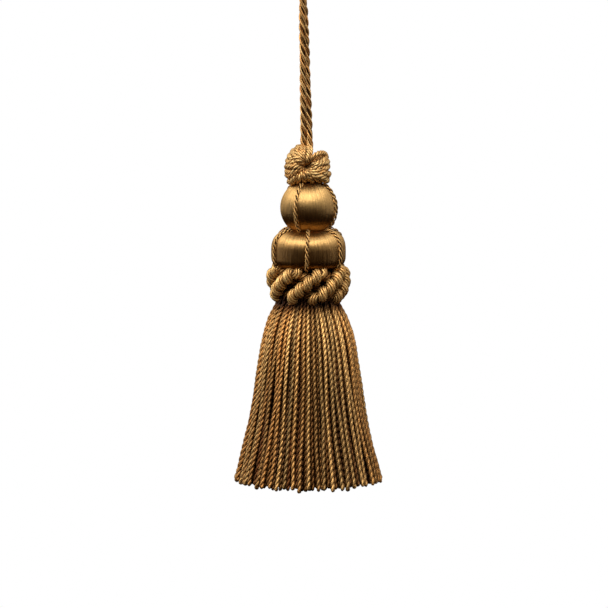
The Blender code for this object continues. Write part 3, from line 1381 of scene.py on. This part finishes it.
@dataclass
class Skirt(SubAssembly):
    """The bullion fringe: layers of two-ply cords, each a doubled strand whose fold is its tip.

    Attributes:
        layers: from the outside in.
        pitch: of the twist at the top and at the tip.
        painted_light_by_drop: painted light and shade down the skirt, as how bright the cords look
            at shares of the drop, with a painted shadow under the collar and a painted highlight on
            the shoulder.
        sections: the outside's radius at shares of the drop from the collar to the hem.
        start: from the collar's foot down to the start of the drop.
        lift: how far the cords' ends are lifted, to leave room for the folds below them.
        jitter: how unevenly they are spaced, as a share of a cord.
        sways: how often a cord sways to the sides on its way down, and how far, in radians.
        stagger: how far cords stand in or out of their layer, at the collar and at the hem.
        wander: how far a cord strays in and out on its way down.
        fold: where along a cord its plies part for the fold, and how far, in offsets.
        fold_rise: how far above a cord's end lies the point that the painted shade of its fold is
            measured from.
    """

    layers: tuple[Layer, ...] = (
        Layer(
            name="bullion_outer",
            cords=54,
            shift=0.0,
            depth=(0.00082, 0.00078),
            ply_radius=(0.00047, 0.00056),
            offset=(0.00023, 0.00025),
            sides=6,
            rings=10,
            length=0.0,
            shade=1.0,
        ),
        Layer(
            name="bullion_second",
            cords=54,
            shift=0.5,
            depth=(0.00165, 0.00200),
            ply_radius=(0.00046, 0.00054),
            offset=(0.00024, 0.00029),
            sides=5,
            rings=9,
            length=-0.0005,
            shade=0.36,
        ),
        Layer(
            name="bullion_third",
            cords=54,
            shift=0.0,
            depth=(0.0029, 0.0032),
            ply_radius=(0.00050, 0.00074),
            offset=(0.00036, 0.00050),
            sides=4,
            rings=7,
            length=-0.0009,
            shade=0.27,
        ),
        Layer(
            name="bullion_inner",
            cords=48,
            shift=0.5,
            depth=(0.0045, 0.0043),
            ply_radius=(0.00050, 0.00076),
            offset=(0.00036, 0.00052),
            sides=4,
            rings=6,
            length=-0.0013,
            shade=0.30,
        ),
        Layer(
            name="bullion_heart",
            cords=32,
            shift=0.25,
            depth=(0.0080, 0.0046),
            ply_radius=(0.00055, 0.00095),
            offset=(0.00040, 0.00065),
            sides=4,
            rings=6,
            length=-0.0015,
            shade=0.50,
        ),
    )
    pitch: tuple[float, float] = (0.0040, 0.0046)
    # painted light and shade down the drop: a painted shadow under the collar, a painted highlight
    # on the shoulder
    painted_light_by_drop: tuple[tuple[float, float], ...] = (
        (-0.02, 0.10),
        (0.03, 0.95),
        (0.08, 1.45),
        (0.25, 1.35),
        (0.45, 0.98),
        (0.90, 0.90),
        (1.00, 1.10),
    )
    sections: tuple[tuple[float, float], ...] = (
        (-0.02, 0.0108),
        (0.02, 0.0119),
        (0.08, 0.0139),
        (0.17, 0.0158),
        (0.25, 0.0168),
        (0.38, 0.0179),
        (0.53, 0.0193),
        (0.67, 0.0210),
        (0.80, 0.0229),
        (0.90, 0.0245),
        (1.00, 0.0260),
    )
    start: float = 0.0012
    lift: float = 0.0009
    jitter: float = 0.16
    sways: tuple[tuple[float, float], ...] = ((0.7, 0.020), (1.6, 0.012), (3.1, 0.005))
    stagger: tuple[float, float] = (0.0005, 0.00025)
    wander: float = 0.0003
    fold: tuple[float, float] = (0.97, 1.15)
    fold_rise: float = 0.0003

    def __post_init__(self) -> None:
        """Takes the drop from the frame."""
        low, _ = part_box("bullion_skirt")
        collar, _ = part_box("plaited_collar")
        self.hem = low[2]
        self.top = collar[2] - self.start

    def radius_at(self, share: np.ndarray) -> np.ndarray:
        """The outside's radius at a share of the drop."""
        return np.interp(share, *zip(*self.sections))

    def cord_lines(self, layer: Layer, shop: Workshop) -> np.ndarray:
        """Hangs a layer's cords from the neck.

        Args:
            layer: the layer.
            shop: whose hand makes them uneven.

        Returns:
            Their middle lines from the collar to the hem, (cords, points, 3).
        """
        hand, many = shop.hand, layer.cords
        drop = self.top - self.hem
        turns = drop / (sum(self.pitch) / 2)
        share = np.linspace(-0.05, 1, int(turns * layer.rings))[None]
        order = self.layers.index(layer)
        uneven = hand.uniform(-self.jitter, self.jitter, many)
        azimuth = TURN * (np.arange(many) + layer.shift + uneven) / many
        sway = np.zeros((many, share.size))
        for waves, size in self.sways:
            angle = TURN * (waves * share + hand.uniform(0, 1, (many, 1)))
            sway += size / (1 + order) ** 2 * np.sin(angle) * hand.uniform(0.3, 1.0, (many, 1))
        stagger = hand.uniform(-1, 1, (many, 1))
        depth = layer.depth[1] + (layer.depth[0] - layer.depth[1]) * share
        most = self.stagger[0] + (self.stagger[1] - self.stagger[0]) * share
        radius = self.radius_at(share) - depth + stagger * most
        radius = radius + self.wander * np.sin(TURN * (1.3 * share + hand.uniform(0, 1, (many, 1))))
        ends = 1 + (layer.length + hand.uniform(-0.0007, 0.0005, (many, 1))) / drop
        z = self.top - share * drop * ends + self.lift
        reach = 0.35 + 0.65 * np.clip(share, 0, 1)
        return shop.around(radius, azimuth[:, None] + sway * reach, z)

    def build(self, shop: Workshop) -> list[bpy.types.Object]:
        """Twists every layer's cords and makes each layer a piece.

        Args:
            shop: whose hand, axis and finishes they have.

        Returns:
            The layers, from the outside in.
        """
        pieces = []
        for layer in self.layers:
            lines = self.cord_lines(layer, shop)
            strands, radius, core = self.doubled(lines, layer, shop)
            tubes = Tubes()
            tones = shop.hand.uniform(0, 1, len(strands))
            drop = (self.top - strands[..., 2]) / (self.top - self.hem)
            # painted shade of the layer, times the painted light and shade down the drop
            light = layer.shade * np.interp(drop, *zip(*self.painted_light_by_drop))
            tubes.add(strands, radius, layer.sides, tones, (core,), light)
            nodes = [] if pieces else ["bullion_skirt"]
            pieces.append(shop.dress(tubes.piece(layer.name), Slot.SKIRT, *nodes))
        return pieces

    def doubled(
        self, lines: np.ndarray, layer: Layer, shop: Workshop
    ) -> tuple[np.ndarray, np.ndarray, tuple[np.ndarray, np.ndarray]]:
        """Each cord as one strand that runs down, folds at the tip and twists back up.

        Args:
            lines: each cord's middle, (cords, points, 3).
            layer: the layer that they lie in.
            shop: whose hand makes them uneven.

        Returns:
            The strands' middle lines, their radii, and the line that they wind round with
            their reach from it, by which the painted shade between the plies is measured.
        """
        many, points = lines.shape[:2]
        share = np.linspace(0, 1, points)[None]
        side, up, forward = transported(lines)
        size = shop.hand.uniform(0.94, 1.06, (many, 1))
        pitch = np.interp(share, (0, 1), self.pitch) * shop.hand.uniform(0.92, 1.08, (many, 1))
        steps = np.diff(lengths(lines), axis=1, prepend=0)
        turns = TURN * np.cumsum(steps / pitch, axis=1) + shop.hand.uniform(0, TURN, (many, 1))
        parting, parted = self.fold
        ends = (*layer.offset, layer.offset[1] * parted)
        out = size * np.interp(share, (0, parting, 1), ends)
        arm = out[..., None] * (
            np.cos(turns)[..., None] * side + np.sin(turns)[..., None] * up
        )
        fold = np.linspace(0, math.pi, 7)[1:-1][None, :, None]
        tip = lines[:, -1:] + np.cos(fold) * arm[:, -1:]
        tip = tip + np.sin(fold) * forward[:, -1:] * out[:, -1:, None]
        radius = size * np.interp(share, (0, 1), layer.ply_radius)
        folded = np.broadcast_to(radius[:, -1:], (many, fold.shape[1]))
        # the point that the fold's painted shade is measured from
        foot = np.broadcast_to(lines[:, -1:], tip.shape) - forward[:, -1:] * self.fold_rise
        core = np.concatenate([lines, foot, lines[:, ::-1]], axis=1)
        turned = np.repeat(out[:, -1:], fold.shape[1], 1)
        reach = np.concatenate([out, turned, out[:, ::-1]], axis=1)
        radii = np.concatenate([radius, folded, radius[:, ::-1]], axis=1)
        strands = np.concatenate([lines + arm, tip, (lines - arm)[:, ::-1]], axis=1)
        return strands, radii, (core, reach + radii)


def split_view(
    tree: bpy.types.NodeTree, lit: bpy.types.NodeSocket, seen: bpy.types.NodeSocket, output: str
) -> None:
    """Shows one shader to the eye and lets another one light the tassel.

    Args:
        tree: the tree of a material or a world.
        lit: the shader that the tassel is lit by.
        seen: the shader that is seen.
        output: the name of the tree's output node.
    """
    path = add_node(tree, "LightPath", {})
    mix = add_node(tree, "MixShader", {0: path.outputs["Is Camera Ray"], 1: lit, 2: seen})
    feed(tree, tree.nodes[output], {"Surface": mix.outputs[0]})


@dataclass(frozen=True)
class Softbox:
    """One soft light that faces the tassel.

    Attributes:
        name: of the light.
        place: from what the camera looks at.
        size: its width and height.
        power: in watts.
    """

    name: str
    place: Point
    size: tuple[float, float]
    power: float

    def hang(self, aim: Vector) -> None:
        """Hangs it.

        Args:
            aim: what it faces.
        """
        data = bpy.data.lights.new(self.name, "AREA")
        data.shape = "RECTANGLE"
        data.size, data.size_y = self.size
        data.energy = self.power
        light = placed(self.name, data)
        light.location = aim + Vector(self.place)
        light.rotation_euler = (-Vector(self.place)).to_track_quat("-Z", "Y").to_euler()


@dataclass
class Studio:
    """The white sweep, the soft lights and the camera.

    Attributes:
        distance: from the tassel to the camera.
        elevation: of the camera above the horizon.
        view_height: what the camera takes in at the tassel.
        aim: what it looks at.
        floor_drop: how far the floor lies below the hang point.
        floor_reach: how far it reaches to each side.
        floor_light: the little light that it throws back.
        bounce: the warm light from all round.
        overhead: the light from above.
        ceiling: the heights between which the surround brightens, and its shares of the light
            from above at both.
        softboxes: the lights.
    """

    distance: float = 2.4
    elevation: float = math.radians(8)
    view_height: float = 0.2128
    aim: Point = (0.00052, 0.0, -0.1135)
    floor_drop: float = 3.0
    floor_reach: float = 6.0
    floor_light: Colour = (0.02, 0.01, 0.004)
    bounce: Colour = (0.028, 0.013, 0.005)
    overhead: Colour = (1.0, 0.98, 0.95)
    ceiling: tuple[float, float, float, float] = (0.28, 0.80, 0.0, 1.1)
    softboxes: tuple[Softbox, ...] = (
        Softbox("key", (-0.18, -0.59, 0.82), (0.8, 0.7), 10.0),
        Softbox("right_fill", (0.75, -0.50, 0.35), (0.4, 0.6), 1.2),
        Softbox("left_fill", (-0.80, -0.42, 0.50), (0.5, 0.6), 2.4),
        Softbox("left_rim", (-0.85, 0.30, 0.15), (0.4, 0.8), 2.4),
        Softbox("right_rim", (0.85, 0.30, 0.15), (0.4, 0.8), 1.6),
    )

    def build(self) -> None:
        """Sets up the whole studio."""
        self.camera()
        self.floor()
        self.world()
        for softbox in self.softboxes:
            softbox.hang(Vector(self.aim))
        bpy.context.scene.view_settings.view_transform = "Standard"

    def camera(self) -> None:
        """Makes the camera on its long lens."""
        data = bpy.data.cameras.new("camera")
        data.lens = data.sensor_width * self.distance / self.view_height
        data.clip_end = 20
        camera = placed("camera", data)
        back = Vector((0, -math.cos(self.elevation), math.sin(self.elevation)))
        camera.location = Vector(self.aim) + back * self.distance
        camera.rotation_euler = (-back).to_track_quat("-Z", "Y").to_euler()
        bpy.context.scene.camera = camera

    def floor(self) -> None:
        """Lays the pale floor, white to the eye and dim to the tassel far above it."""
        data = bpy.data.meshes.new("floor")
        square = ((-1, -1), (1, -1), (1, 1), (-1, 1))
        corners = [(x * self.floor_reach, y * self.floor_reach, -self.floor_drop) for x, y in square]
        data.from_pydata(corners, [], [(0, 1, 2, 3)])
        material = bpy.data.materials.new("pale_floor")
        material.use_nodes = True
        tree = material.node_tree
        tree.nodes.remove(tree.nodes["Principled BSDF"])
        seen = add_node(tree, "Emission", {"Color": (1, 1, 1, 1)})
        lit = add_node(tree, "BsdfDiffuse", {"Color": (*self.floor_light, 1)})
        split_view(tree, lit.outputs[0], seen.outputs[0], "Material Output")
        data.materials.append(material)
        placed("floor", data)

    def world(self) -> None:
        """Sets a surround that is white to the eye and a dim even fill to the tassel."""
        world = bpy.data.worlds.new("studio")
        world.use_nodes = True
        tree = world.node_tree
        seen = tree.nodes["Background"]
        feed(tree, seen, {"Color": (1, 1, 1, 1)})
        coordinates = add_node(tree, "TexCoord", {})
        height = add_node(tree, "SeparateXYZ", {0: coordinates.outputs["Generated"]}).outputs["Z"]
        keys = ("From Min", "From Max", "To Min", "To Max")
        ceiling = add_node(
            tree,
            "MapRange",
            {"Value": height, **dict(zip(keys, self.ceiling))},
            interpolation_type="SMOOTHSTEP",
        )
        light = mixed(tree, ceiling.outputs[0], (*self.bounce, 1), (*self.overhead, 1))
        fill = add_node(tree, "Background", {"Color": light})
        split_view(tree, fill.outputs[0], seen.outputs[0], "World Output")
        bpy.context.scene.world = world


def finishes() -> dict[Slot, bpy.types.Material]:
    """Builds the shared groups and every slot's silk.

    Returns:
        A material for each slot.
    """
    groups = {"filaments": filament_group(), "dye": dye_group()}
    gold = Dye(cool=(0.82, 0.53, 0.205), middle=(0.82, 0.49, 0.170), warm=(0.76, 0.39, 0.115))
    silks = {
        Slot.CORD: Silk(
            "loop_silk",
            Dye(cool=(0.98, 0.63, 0.250), middle=(0.98, 0.59, 0.205), warm=(0.95, 0.50, 0.155)),
            across=2.4,
            along=0.5,
            lean=0.05,
            contrast=1.3,
            metallic=0.68,
        ),
        Slot.ROSETTE: Silk(
            "rosette_silk", gold, across=3.0, along=0.5, lean=-0.12, contrast=1.1, metallic=0.7
        ),
        Slot.TRIM: Silk("trim_silk", gold, across=1.2, along=0.6, lean=0.08),
        Slot.COLLAR: Silk(
            "collar_silk",
            Dye(cool=(0.92, 0.63, 0.250), middle=(0.92, 0.59, 0.215), warm=(0.86, 0.48, 0.150)),
            across=2.2,
            along=1.3,
            lean=0.08,
            contrast=2.0,
            metallic=0.7,
        ),
        Slot.SKIRT: Silk(
            "bullion_silk",
            Dye(cool=(0.63, 0.370, 0.128), middle=(0.62, 0.348, 0.112), warm=(0.58, 0.268, 0.070)),
            across=2.6,
            along=0.35,
            lean=-0.10,
            metallic=0.84,
            roughness=(0.38, 0.54),
            sheen=0.0,
            spread=0.60,
        ),
        Slot.FLOSS: Silk(
            "mould_floss",
            Dye(cool=(0.84, 0.53, 0.205), middle=(0.84, 0.51, 0.185), warm=(0.82, 0.47, 0.155)),
            across=24.0,
            along=0.12,
            lean=0.0,
            contrast=1.3,
            metallic=1.0,
            roughness=(0.38, 0.62),
            relief=0.00024,
            lustre=0.86,
            turned=0.0,
            sheen=0.0,
        ),
    }
    return {slot: silk.material(groups) for slot, silk in silks.items()}


def main() -> None:
    """Builds the studio and the tassel from the top down, and reports each piece."""
    logging.basicConfig(level=logging.INFO, format="%(name)s: %(message)s")
    Studio().build()
    low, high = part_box("lower_mould")
    shop = Workshop(axis_x=(low[0] + high[0]) / 2, finishes=finishes())
    for part in (HangingLoop(), Rosette(), UpperMould(), LowerMould(), Collar(), Skirt()):
        for piece in part.build(shop):
            triangles = len(piece.data.loops) - 2 * len(piece.data.polygons)
            LOG.info("%s %s: %d triangles", type(part).__name__, piece.name, triangles)


if __name__ == "__main__":
    main()
